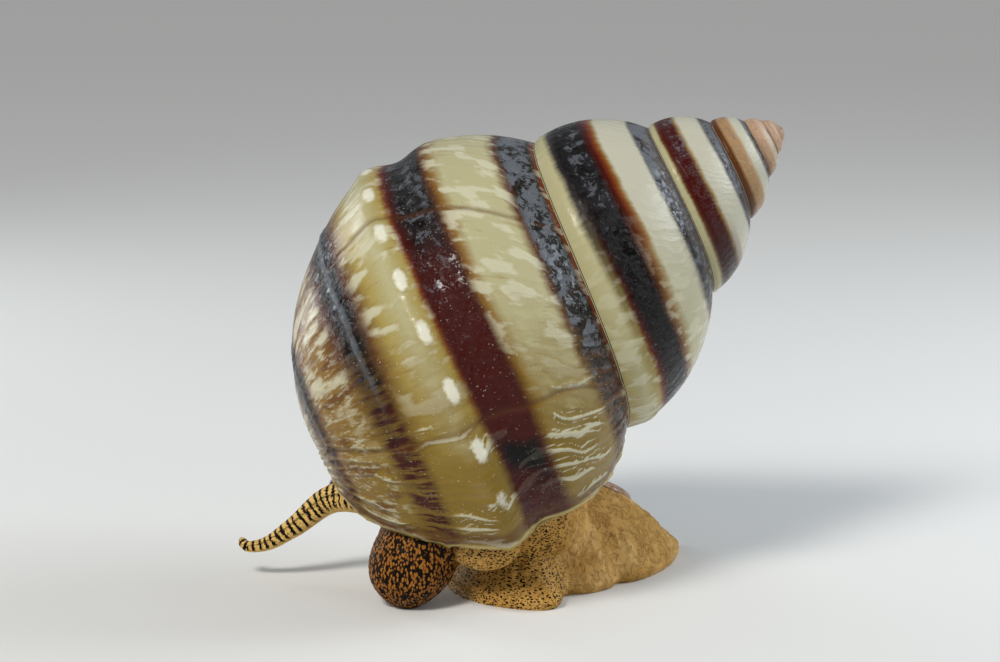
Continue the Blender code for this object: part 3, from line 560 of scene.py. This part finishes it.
def shell_paint():
    paint = Paint("shell_paint", IOR=1.2, Coat_Weight=0.35, Coat_Roughness=0.03, Coat_IOR=1.3)
    step, band, sway = paint.step, paint.band, paint.swayed
    coat, times = paint.coat, paint.times
    s, growth, inside, pale, pearl, crease = (paint.attribute(name) for name in SHELL_ATTRIBUTES)
    place = paint.place()

    def on_shell(along_growth, along_s, detail=2.0, rough=0.5):
        """Noise with so many cells to a turn and to a unit of s."""
        at = paint.node("ShaderNodeCombineXYZ", {0: growth, 1: s})
        return paint.noise(paint.stretched(at, (along_growth, along_s, 0.0)), 1.0, detail, rough)

    streaks, waver, drift = on_shell(190.0, 5.0, 4.0, 0.6), on_shell(18.0, 3.0), on_shell(60.0, 5.5, 3.0)
    grain, speck = paint.noise(place, 3.4, 4.0, 0.7), paint.noise(place, 7.0)
    flake, plates = paint.noise(place, 1.5, 6.0, 0.72, 0.4), paint.noise(place, 0.95, 5.0, 0.62, 0.6)
    wavy = sway(growth, waver, 0.10)
    shifted = s
    for noise, amount in ((streaks, 0.035), (waver, 0.05), (grain, 0.02)):
        shifted = sway(shifted, noise, amount)
    across = times(shifted, 0.5)

    def bands(table):
        return paint.ramp(across, [(at / 2.0, colour) for colour, *places in table for at in places])

    paint.colour = bands(FIRST_BANDS)
    for table, low, high in LATER_BANDS:
        coat(bands(table), step(growth, low, high))
    coat(APEX_PINK, step(growth, *APEX_REACH))

    # the middle band is black at first, then glows maroon, with one more black stretch near the lip
    coat(MAROON, step(wavy, *GLOW_REACH), band(shifted, *MIDDLE_BAND), 0.9)

    # toward the lip the cream turns olive, the band by the suture breaks up and the lower bands fray
    coat(bands(LIP_BANDS), step(sway(growth, drift, 0.22), *LIP_REACH))
    coat(INK, step(streaks, 0.48, 0.56), band(growth, *SMEAR_REACH, 0.05),
         band(shifted, *SUTURE_BAND, 0.05))
    coat(OLIVE, step(streaks, 0.44, 0.58), step(growth, *LIP_REACH), band(shifted, *FRAYED_PART), 0.75)
    coat(BLACK, band(wavy, *BLACK_REACH, 0.012), band(shifted, *BLACK_PART))

    # cream clouds, darker growth lines, and brown streaks by the base
    body = step(growth, *BODY_REACH)
    dark = paint.most(*(band(shifted, low, high) for low, high in DARK_BANDS))
    light = times(paint.rest_of(dark), body)
    coat(PALE_STREAK, step(drift, 0.50, 0.60), step(growth, *CLOUD_REACH), light, 0.75)
    coat(OCHRE, step(streaks, 0.42, 0.28), light, 0.5)
    coat(BROWN, step(drift, 0.46, 0.38), step(s, *BROWN_PART), light, 0.7)

    # pale fibres by the base, pale crests on the growth ridges that are partly a painted highlight, and a
    # row of painted highlights on the keel's knobs
    fibres = step(on_shell(170.0, 12.0, 4.0, 0.7), 0.50, 0.62)
    coat(PALE_STREAK, fibres, band(s, *FIBRE_PART, 0.10), light, 0.55)
    coat(PALE_STREAK, step(sway(pale, grain, 0.7), 0.36, 0.66), paint.rest_of(times(dark, 0.93)), 0.8)
    # painted highlight: pale patches on the keel's knobs
    coat(KNOB_HIGHLIGHT, step(sway(pearl, grain, 0.8), 0.30, 0.80), 0.9)
    coat(BROWN, crease, 0.5)

    # painted reflection: blue-grey flecks and plates on the dark bands, more where they face up, and a
    # painted highlight streak along the cord
    up = step(paint.facing_up(), -0.2, 0.75)
    by_suture = times(band(s, *SUTURE_BAND), step(growth, *PLATE_REACH))
    reflecting = paint.most(by_suture, times(band(s, *REFLECTION_PART), up, 0.7),
                       times(band(s, *LOWER_BAND), 0.6))
    edge = paint.math('SUBTRACT', 0.64, times(reflecting, 0.15, up))
    flecks = step(flake, edge, paint.math('ADD', edge, 0.03))
    plated = times(step(plates, 0.50, 0.53), by_suture, 0.8, step(up, 0.0, 0.5))
    # painted highlight: a blue-grey streak along the cord of the lower band
    cord_highlight = times(band(shifted, *CORD_HIGHLIGHT_LINE, 0.008), step(sway(growth, drift, 0.10), *CORD_HIGHLIGHT_REACH),
                 body, 0.55)
    coat(REFLECTION_BLUE, paint.most(times(reflecting, flecks, 0.75), plated, cord_highlight))
    coat(PALE_STREAK, paint.math('GREATER_THAN', speck, 0.70), body, 0.45)

    # the lip: a brown line and a pale edge, and pearl inside
    coat(BROWN, band(growth, *RIM_REACH, 0.004), 0.6)
    coat(LIP_EDGE, step(growth, *EDGE_REACH))
    coat(MOUTH_PEARL, inside)
    paint.output("Base Color", paint.colour)
    paint.output("Roughness", paint.math('MULTIPLY_ADD', grain, 0.25, 0.10))
    fine = on_shell(420.0, 14.0, 3.0, 0.6)
    scales = times(step(flake, 0.42, 0.58), paint.most(dark, 0.15))
    paint.bump([(fine, 0.012), (scales, 0.03), (drift, 0.03)])
    return paint.material


# ---- pieces ----------------------------------------------------------

def new_object(name, data):
    obj = bpy.data.objects.new(name, data)
    bpy.context.scene.collection.objects.link(obj)
    return obj


def plain_object(name, points, faces):
    """Object with its faces turned outward."""
    mesh = bpy.data.meshes.new(name)
    mesh.from_pydata(points, [], faces)
    bm = bmesh.new()
    bm.from_mesh(mesh)
    bmesh.ops.recalc_face_normals(bm, faces=bm.faces)
    if bm.calc_volume(signed=True) < 0.0:
        bmesh.ops.reverse_faces(bm, faces=bm.faces)
    bm.to_mesh(mesh)
    bm.free()
    return new_object(name, mesh)


def mesh_object(name, points, faces, material, **values):
    """Object from points in millimetres, with one float attribute on the points for each keyword."""
    obj = plain_object(name, np.asarray(points) * MM, faces)
    for key, value in values.items():
        attribute = obj.data.attributes.new(key, 'FLOAT', 'POINT')
        attribute.data.foreach_set("value", value.astype(np.float32))
    obj.data.shade_smooth()
    obj.data.materials.append(material)
    return obj


def read_vectors(rows, key="co"):
    """Places of a mesh's vertices, or with "vector" its normals, as an array."""
    flat = np.empty(3 * len(rows), np.float32)
    rows.foreach_get(key, flat)
    return flat.reshape(-1, 3).astype(float)


def raise_points(mesh, heights):
    """Move every vertex along its normal by a height in millimetres."""
    normals = read_vectors(mesh.vertex_normals, "vector")
    moved = read_vectors(mesh.vertices) + normals * (heights * MM)[:, None]
    mesh.vertices.foreach_set("co", moved.astype(np.float32).ravel())
    mesh.update()


def build_shell():
    points, faces, place = shell_mesh()
    turn, s, inside = place.T
    growth = turn + lag(turn, s)
    height, pale, knobs, crease = shell_relief(turn, s)
    shell = mesh_object("shell", points, faces, shell_paint(), across=s, growth=growth, inside=inside,
                        pale=pale, pearl=knobs, crease=crease)
    raise_points(shell.data, height * (inside == 0.0))
    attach(shell, "root")
    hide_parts("shell_body_whorl", "shell_penultimate_whorl", "shell_third_whorl", "shell_apex")
    return shell


# ---- skin ------------------------------------------------------------

def along(places, values, x):
    """Smooth curve through a few (place, value) pairs, read at an array of places."""
    places, values, x = (np.asarray(row, float) for row in (places, values, x))
    slopes = np.gradient(values, places)
    i = np.clip(np.searchsorted(places, x) - 1, 0, len(places) - 2)
    span = places[i + 1] - places[i]
    u = np.clip((x - places[i]) / span, 0.0, 1.0)
    return (values[i] * (1 + 2 * u) * (1 - u) ** 2 + slopes[i] * span * u * (1 - u) ** 2
            + values[i + 1] * u * u * (3 - 2 * u) + slopes[i + 1] * span * u * u * (u - 1))


def on_route(route, share):
    """Centres and half-sizes at shares of a route's length."""
    rows = np.array([(*centre, sizes[0], sizes[-1]) for centre, *sizes in route])
    steps = np.linalg.norm(np.diff(rows[:, :3], axis=0), axis=1)
    places = np.concatenate([[0.0], np.cumsum(steps)]) / steps.sum()
    return np.stack([along(places, rows[:, k], share) for k in range(5)], -1), steps.sum()


def ring_faces(rings, sides):
    """Quads between rings of equal size, and a cap on each end."""
    number = np.arange(rings * sides).reshape(rings, sides)
    turned = np.roll(number, -1, axis=1)
    corners = (number[:-1], turned[:-1], turned[1:], number[1:])
    faces = np.stack([c.ravel() for c in corners], -1).tolist()
    return faces + [number[0].tolist(), number[-1].tolist()]


def tube(route, across=(0.0, 0.0, 1.0), steps=48, sides=40):
    """Oval tube along a route, with rounded ends."""
    share = np.linspace(0.0, 1.0, steps + 1)
    rows, length = on_route(route, share)
    centre, size = rows[:, :3], rows[:, 3:].copy()
    ends = np.minimum(share, 1.0 - share) * length / size.mean(1)
    size *= np.sqrt(np.clip(1.0 - np.clip(1.0 - ends, 0.0, 1.0) ** 2, 0.02, 1.0))[:, None]
    ahead = unit(np.gradient(centre, axis=0))
    wide = unit(np.cross(ahead, across))
    thick = np.cross(wide, ahead)
    angle = math.tau * np.arange(sides) / sides
    points = (centre[:, None] + wide[:, None] * (size[:, :1] * np.cos(angle))[..., None]
              + thick[:, None] * (size[:, 1:] * np.sin(angle))[..., None])
    return points.reshape(-1, 3), ring_faces(steps + 1, sides)


def foot_half_width(y):
    """Blunt in front, scalloped along the side, pointed at the tail."""
    front = 1.0 - np.maximum((FOOT_BLUNT - y) / (FOOT_BLUNT - FOOT_FRONT + 0.25), 0.0) ** 3.0
    tail = 1.0 - np.maximum((y - FOOT_TAPER) / (FOOT_TAIL - FOOT_TAPER + 0.12), 0.0) ** 2.0
    lobes = sum(size * bump(y, at, width) for at, width, size in FOOT_LOBES)
    return (FOOT_HALF_WIDTH + lobes) * np.sqrt(np.maximum(front, 0.0)) * np.maximum(tail, 0.0) ** 0.72


def foot(steps=120, sides=48):
    """The foot: a flat sole, a thin margin and a rounded back."""
    y = np.linspace(FOOT_FRONT, FOOT_TAIL, steps + 1)
    half, top = foot_half_width(y)[:, None], along(*zip(*RIDGE), y)[:, None]
    u = np.sin(np.radians(-90.0 + 180.0 * np.arange(sides + 1) / sides))[None, :]
    crown = (1.0 - np.abs(u) ** 2.2) ** 1.1
    upper = np.stack(np.broadcast_arrays(half * u, y[:, None], FOOT_EDGE + (top - FOOT_EDGE) * crown), -1)
    sole = np.maximum(half - 0.3, 0.6 * half)
    lower = np.stack(np.broadcast_arrays(sole * np.linspace(1.0, -1.0, 9), y[:, None], 0.0), -1)
    points = np.concatenate([upper, lower], 1)
    swept = FOOT_SWEEP * np.clip(1.0 - points[..., 0], 0.0, 4.0) ** 2
    points[..., 1] += swept * smooth((-4.5 - points[..., 1]) / 4.5)
    return points.reshape(-1, 3), ring_faces(steps + 1, points.shape[1])


def mouth_plug(columns=40, steps=10):
    """The mantle: fills the shell's mouth and bulges a little out of it."""
    share = np.linspace(MOUTH_START + 0.03, MOUTH_END - 0.03, columns)
    rings = []
    for t in np.linspace(-0.9 * MOUTH_DEPTH, PLUG_OUT, steps):
        a, b = walls(t, share)
        across = unit(b - a)
        outer_side, inner_side = a + across * (WALL + SKIN_GAP), b - across * (CALLUS + SKIN_GAP)
        rings.append(np.vstack([outer_side, inner_side[::-1]]))
    return np.vstack(rings), ring_faces(steps, 2 * columns)


def shell_room(steps=160, columns=48):
    """The last turn of the shell, filled and grown by the gap, which the skin keeps clear of."""
    rings = []
    share = MOUTH_END * np.linspace(0.0, 1.0, columns)
    s = 2.0 * share
    for t in np.linspace(-0.95, ROOM_OUT, steps):
        a, b = walls(t, share)
        ahead = outer_point(t, np.minimum(s + 0.02, 2.0)) - outer_point(t, np.maximum(s - 0.02, 0.0))
        onward = outer_point(t + 0.002, s) - outer_point(t - 0.002, s)
        out = unit(np.cross(ahead, onward))
        out *= np.sign(((a - b)[columns // 2] * out[columns // 2]).sum())
        grown = a + out * SKIN_GAP
        rings.append(np.vstack([grown, (grown + 0.97 * (b - grown))[:0:-1]]))
    return np.vstack(rings), ring_faces(steps, 2 * columns - 1)


def form_object(name, parts):
    """One throw-away object, in millimetres, from several closed (points, faces)."""
    points, faces, total = [], [], 0
    for part_points, part_faces in parts:
        points.append(part_points)
        faces += [[i + total for i in face] for face in part_faces]
        total += len(part_points)
    return plain_object(name, np.vstack(points), faces)


def with_modifier(obj, kind, **settings):
    """Apply one modifier to a throw-away object."""
    modifier = obj.modifiers.new(kind, kind)
    for key, value in settings.items():
        setattr(modifier, key, value)
    graph = bpy.context.evaluated_depsgraph_get()
    mesh = bpy.data.meshes.new_from_object(obj.evaluated_get(graph))
    obj.modifiers.clear()
    obj.data = mesh
    return obj


def mesh_parts(mesh):
    """Points and faces of a mesh."""
    return read_vectors(mesh.vertices), [list(face.vertices) for face in mesh.polygons]


def relax(points, edges, rounds, share=0.5):
    """Even out a mesh without shrinking it much: a step inward, then a step back, each round."""
    count = np.bincount(edges.ravel(), minlength=len(points))[:, None]
    for step in [share, -share * 1.03] * rounds:
        total = np.zeros_like(points)
        for k in range(3):
            for a, b in ((0, 1), (1, 0)):
                total[:, k] += np.bincount(edges[:, a], points[edges[:, b], k], len(points))
        points = points + step * (total / count - points)
    return points


def flesh_form():
    """The fleshy body as one closed surface in millimetres: points and faces."""
    parts = [foot(), tube(STALK, (0.0, -1.0, 0.0)), tube(HEAD, HEAD_ACROSS)]
    parts += [tube(route) for route in (TENTACLE_RIGHT, TENTACLE_LEFT, LOBE_LEFT, LOBE_RIGHT)]
    parts += [tube(eye_stub(side)) for side in EYES]
    body = with_modifier(form_object("body_form", parts), 'REMESH', mode='VOXEL', voxel_size=VOXEL)
    room = form_object("room_form", [shell_room(), operculum_form(SKIN_GAP)[:2]])
    body = with_modifier(body, 'BOOLEAN', operation='DIFFERENCE', solver='MANIFOLD', object=room)
    joined = form_object("joined_form", [mesh_parts(body.data), mouth_plug()])
    joined = with_modifier(joined, 'REMESH', mode='VOXEL', voxel_size=VOXEL)
    edges = np.empty(2 * len(joined.data.edges), np.int32)
    joined.data.edges.foreach_get("vertices", edges)
    points, faces = mesh_parts(joined.data)
    points = relax(points, edges.reshape(-1, 2), SKIN_ROUNDS)
    normals = read_vectors(joined.data.vertex_normals, "vector")
    points += normals * skin_relief(points)[:, None]
    points[:, 2] = np.maximum(points[:, 2], 0.0)
    for obj in (body, room, joined):
        bpy.data.objects.remove(obj)
    return points, faces


def skin_noise(points, cells, seed):
    return lattice(points * cells + NOISE_SHIFT, seed)


def furrows(noise, narrow, power=1.5):
    """1 along the winding lines where a noise passes 0, and 0 away from them."""
    return np.maximum(1.0 - narrow * np.abs(noise), 0.0) ** power


def skin_relief(points):
    """Height of the skin above its smooth form in millimetres: folds, wrinkles, rings and grains."""
    x, y, z = points.T
    on_column = smooth((z - 3.6) / 2.0) * smooth((y + 8.5) / 2.5)
    on_foot = smooth((y + 9.5) / 2.0) * smooth(z / 0.8)
    folds = skin_noise(points, (0.55, 0.55, 1.5), 11)
    groove = FOLD_DEPTH * on_column * furrows(folds, 3.2)
    groove += WRINKLE_DEPTH * on_foot * furrows(skin_noise(points, 0.75, 12), 3.0)
    groove += FINE_DEPTH * on_foot * furrows(skin_noise(points, 2.3, 13), 2.6, 1.0)
    place, away, _, _ = near_route(points, HEAD)
    on_snout = smooth((place - 0.35) / 0.1) * smooth(1.3 - away / 0.5)
    rings = crests(HEAD_RINGS * place + 0.5 * folds, 3.0)
    groove += RING_DEPTH * on_snout * smooth((0.80 - place) / 0.2) * rings
    slit = np.maximum(1.0 - np.abs(x - MOUTH_SLIT[0]) / 0.22, 0.0) * bump(z, MOUTH_SLIT[1], 0.7)
    groove += SLIT_DEPTH * on_snout * slit * smooth((-12.6 - y) / 0.6)
    grains = FOOT_GRAIN * on_foot * skin_noise(points, 5.0, 14)
    grains += SNOUT_GRAIN * on_snout * skin_noise(points, 6.5, 15)
    return grains - groove


def eye_place(side):
    """Centre of an eye, the way it looks, and the middle of the tentacle beside it."""
    route, share, way = EYES[side]
    row = on_route(route, np.array([share]))[0][0]
    out = unit(np.array(way))
    return row[:3] + out * row[3], out, row[:3]


def eye_stub(side):
    """Route of the short stalk that holds an eye."""
    centre, out, middle = eye_place(side)
    reach = np.linalg.norm(centre - middle)
    places = (0.0, 0.6 * reach, reach + STUB_PAST_EYE)
    return [(middle + out * far, wide) for far, wide in zip(places, STUB_HALF_WIDTHS)]


def near_route(points, route, samples=80):
    """Share of the route's length nearest to each point, the distance from its surface, the route's
    length, and how high on the route the point lies, from -1 to 1."""
    rows, length = on_route(route, np.linspace(0.0, 1.0, samples))
    best, nearest = np.full(len(points), 1e9), np.zeros(len(points), int)
    for k in range(samples):
        away = np.linalg.norm(points - rows[k, :3], axis=1) - rows[k, 3:].mean()
        closer = away < best
        best[closer], nearest[closer] = away[closer], k
    return nearest / (samples - 1), best, length, (points[:, 2] - rows[nearest, 2]) / rows[nearest, 4]


def skin_paint():
    paint = Paint("skin_paint", IOR=1.3, Specular_IOR_Level=0.15, Coat_Weight=0.03, Coat_Roughness=0.3,
                  Subsurface_Weight=0.1, Subsurface_Scale=0.4 * MM)
    place, step = paint.place(), paint.step
    front, rise = paint.attribute("front"), paint.attribute("rise")
    grain, cloud = paint.noise(place, 2.4, 4.0, 0.65), paint.noise(place, 0.5)
    paint.colour = paint.mix(step(grain, 0.30, 0.52), TAN_MIDDLE, TAN)
    paint.coat(TAN_PALE, step(cloud, 0.45, 0.62), 0.7)
    # painted shade: darker tan along the wrinkles, away from the front of the foot
    folded = paint.valleys(paint.noise(place, 1.1, 4.0, 0.6, 0.3), 0.05)
    wrinkles = paint.times(folded, paint.rest_of(front))
    paint.coat(WRINKLE_SHADE, wrinkles, 0.18)

    # dark dashes and fine winding lines on the front of the foot and the lobes
    dashes = paint.math('LESS_THAN', paint.cells(paint.stretched(place, (4.2, 4.2, 8.0))),
                        paint.math('MULTIPLY_ADD', grain, 0.50, 0.10))
    lines = paint.valleys(paint.noise(place, 3.6, 2.0, 0.5, 0.2), 0.035)
    paint.coat(TAN_FRONT, front, 0.6)
    paint.coat(SKIN_DARK, paint.most(dashes, paint.times(lines, 0.85)), front)

    # dense gold dots on the dark snout; where the mask reaches back over the side of the head, the dark
    # stands partly for painted shade
    dots = step(paint.cells(paint.stretched(place, (7.0, 7.0, 3.8))), 0.56, 0.40)
    dots = paint.times(dots, step(grain, 0.25, 0.42))
    dotted = paint.mix(dots, SKIN_DARK, paint.mix(grain, ORANGE_DEEP, ORANGE))
    paint.coat(dotted, paint.attribute("snout"))

    # gold bars round the tentacles, with a dark line along them
    wander = paint.math('MULTIPLY_ADD', paint.noise(place, 1.6), 0.9, paint.attribute("bars"))
    gap = step(paint.math('SINE', paint.times(wander, math.tau)), 0.0, -0.4)
    gap = paint.most(paint.times(gap, step(rise, -0.75, -0.4)), paint.times(lines, 0.5),
                     paint.times(paint.band(rise, 0.30, 0.42, 0.06), 0.8))
    paint.coat(paint.mix(gap, GOLD, SKIN_DARK), paint.attribute("tentacle"))
    paint.output("Base Color", paint.colour)
    paint.output("Roughness", paint.math('MULTIPLY_ADD', grain, 0.3, 0.40))
    pores = paint.noise(place, 7.0, 3.0, 0.6)
    paint.bump([(paint.rest_of(wrinkles), 0.07), (grain, 0.05), (pores, 0.03)])
    return paint.material


def build_skin():
    points, faces = flesh_form()
    x, y, z = points.T
    head_place, head_away, _, _ = near_route(points, HEAD)
    # the snout's dark colour reaches back up the head, partly as painted shade on its side
    snout = smooth((head_place - 0.42) / 0.1) * smooth(1.3 - head_away / 0.5)
    tentacle, bars, rise = (np.zeros(len(points)) for _ in range(3))
    for route in (TENTACLE_RIGHT, TENTACLE_LEFT):
        place, away, length, high = near_route(points, route)
        mask = smooth((place - 0.05) / 0.06) * smooth(1.0 - away / 0.25)
        closer = mask > tentacle
        tentacle[closer], rise[closer] = mask[closer], high[closer]
        bars[closer] = (place * length / BAR_SPACING)[closer]
    front = smooth((-4.0 - y + 0.25 * x) / 2.4)
    skin = mesh_object("skin", points, faces, skin_paint(), snout=snout, tentacle=tentacle, bars=bars,
                       rise=rise, front=front)
    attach(skin, "root")
    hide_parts(*SKIN_NODES)


# ---- eyes and operculum ----------------------------------------------

def build_eyes():
    paint = Paint("eye_paint", Roughness=0.12, Coat_Weight=1.0, Coat_Roughness=0.02)
    paint.output("Base Color", paint.ramp(paint.attribute("look"), EYE_COLOURS))
    for side in EYES:
        centre, out, _ = eye_place(side)
        ball = bmesh.new()
        bmesh.ops.create_uvsphere(ball, u_segments=48, v_segments=32, radius=EYE_RADIUS)
        points = np.array([v.co for v in ball.verts])
        faces = [[v.index for v in face.verts] for face in ball.faces]
        ball.free()
        look = points @ out / EYE_RADIUS
        eye = mesh_object("eye_" + side, points + centre, faces, paint.material, look=look)
        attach(eye, "root")
        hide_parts("eye_" + side)


def operculum_form(grow=0.0, rings=48, sides=96):
    """The horny lid, a bent oval plate: points, faces, and each point's share of the way from the
    nucleus to the edge."""
    back, right = (math.radians(angle) for angle in OPERCULUM_TILT)
    along_y = np.array([0.0, math.cos(back), -math.sin(back)])
    along_x = np.array([math.cos(right), 0.0, math.sin(right)])
    share = np.concatenate([np.linspace(0.02, 1.0, rings), np.linspace(1.0, 0.02, rings)])[:, None]
    angle = (math.tau * np.arange(sides) / sides)[None, :]
    half = (0.5 * OPERCULUM_THICK + grow) * np.sqrt(1.0 - np.clip((share - 0.9) / 0.1, 0.0, 1.0) ** 2)
    upper = (np.arange(2 * rings) >= rings)[:, None]
    lines = 0.018 * np.cos(math.tau * OPERCULUM_RIDGES * share) * (share < 0.95) * upper
    x = (OPERCULUM_SIZE[0] + grow) * share * np.cos(angle) - 0.5 * (1.0 - share)
    y = (OPERCULUM_SIZE[1] + grow) * share * np.sin(angle)
    rise = np.where(upper, half, -half) + lines - OPERCULUM_BEND * x * x
    points = (np.array(OPERCULUM_CENTRE) + x[..., None] * along_x + y[..., None] * along_y
              + rise[..., None] * np.cross(along_x, along_y))
    return points.reshape(-1, 3), ring_faces(2 * rings, sides), np.broadcast_to(share, x.shape).ravel()


def build_operculum():
    paint = Paint("horn_paint", Roughness=0.38, Coat_Weight=0.4, Coat_Roughness=0.15)
    grain = paint.noise(paint.place(), 1.6, 4.0, 0.6)
    age = paint.math('MULTIPLY_ADD', grain, 0.06, paint.attribute("age"))
    lines = paint.math('SINE', paint.times(age, math.tau * OPERCULUM_LINES))
    paint.colour = paint.mix(paint.step(grain, 0.35, 0.65), HORN, HORN_PALE)
    paint.coat(HORN_LINE, paint.step(lines, 0.2, 0.9))
    paint.coat(HORN_EDGE, paint.step(age, 0.90, 1.0))
    paint.output("Base Color", paint.colour)
    paint.bump([(lines, 0.02), (grain, 0.05)])
    points, faces, age = operculum_form()
    lid = mesh_object("operculum", points, faces, paint.material, age=age)
    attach(lid, "root")
    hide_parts("operculum")


# ---- floor, lights and camera ----------------------------------------

CAMERA_AT_M = (0.11273, -0.11835, 0.04351)
CAMERA_TURN, CAMERA_RISE = 45.0, 10.0  # degrees: azimuth, and height of the view
LENS, SENSOR = 100.0, 36.0
LIT_PLACE_M = (0.002, -0.002, 0.014)


def build_floor():
    bpy.ops.mesh.primitive_plane_add(size=4.0, location=(0.0, 0.0, 0.0))
    floor = bpy.context.object
    floor.name = "floor"
    paint = Paint("floor_paint", Roughness=0.6)
    paint.output("Base Color", (0.80, 0.80, 0.78))
    floor.data.materials.append(paint.material)


def add_light(name, kind, place, power, colour, **settings):
    """Light that looks at the middle of the part."""
    light = bpy.data.lights.new(name, kind)
    light.energy, light.color = power, colour
    for key, value in settings.items():
        setattr(light, key, value)
    obj = new_object(name, light)
    obj.location = place
    obj.rotation_euler = (Vector(LIT_PLACE_M) - Vector(place)).to_track_quat("-Z", "Y").to_euler()


def build_lights():
    world = bpy.data.worlds.new("studio")
    world.use_nodes = True
    sky = world.node_tree.nodes["Background"].inputs
    sky["Color"].default_value = (0.92, 0.96, 1.0, 1.0)
    sky["Strength"].default_value = 0.24
    bpy.context.scene.world = world
    add_light("sun", 'SUN', (0.042, -0.152, 0.174), 0.98, (1.0, 0.98, 0.94), angle=math.radians(14.0))
    for name, place, size, power, colour in (
            ("key", (0.03, -0.15, 0.15), (0.05, 0.05), 0.17, (1.0, 0.97, 0.92)),
            ("back", (0.09, 0.13, 0.11), (0.12, 0.08), 0.21, (0.85, 0.92, 1.0)),
            ("side", (-0.16, -0.03, 0.05), (0.06, 0.10), 0.08, (0.90, 0.95, 1.0))):
        add_light(name, 'AREA', place, power, colour, shape='RECTANGLE', size=size[0], size_y=size[1])
    bpy.context.scene.view_settings.view_transform = 'Standard'


def build_camera():
    camera = new_object("camera", bpy.data.cameras.new("camera"))
    camera.data.lens, camera.data.sensor_width = LENS, SENSOR
    camera.data.clip_start, camera.data.clip_end = 0.01, 10.0
    turn, rise = math.radians(CAMERA_TURN), math.radians(CAMERA_RISE)
    back = Vector((math.sin(turn) * math.cos(rise), -math.cos(turn) * math.cos(rise), math.sin(rise)))
    right = Vector((math.cos(turn), math.sin(turn), 0.0))
    up = back.cross(right)
    turned = Matrix((right, up, back)).transposed().to_4x4()
    camera.matrix_world = Matrix.Translation(CAMERA_AT_M) @ turned
    bpy.context.scene.camera = camera


build_floor()
build_lights()
build_camera()
build_shell()
build_skin()
build_eyes()
build_operculum()
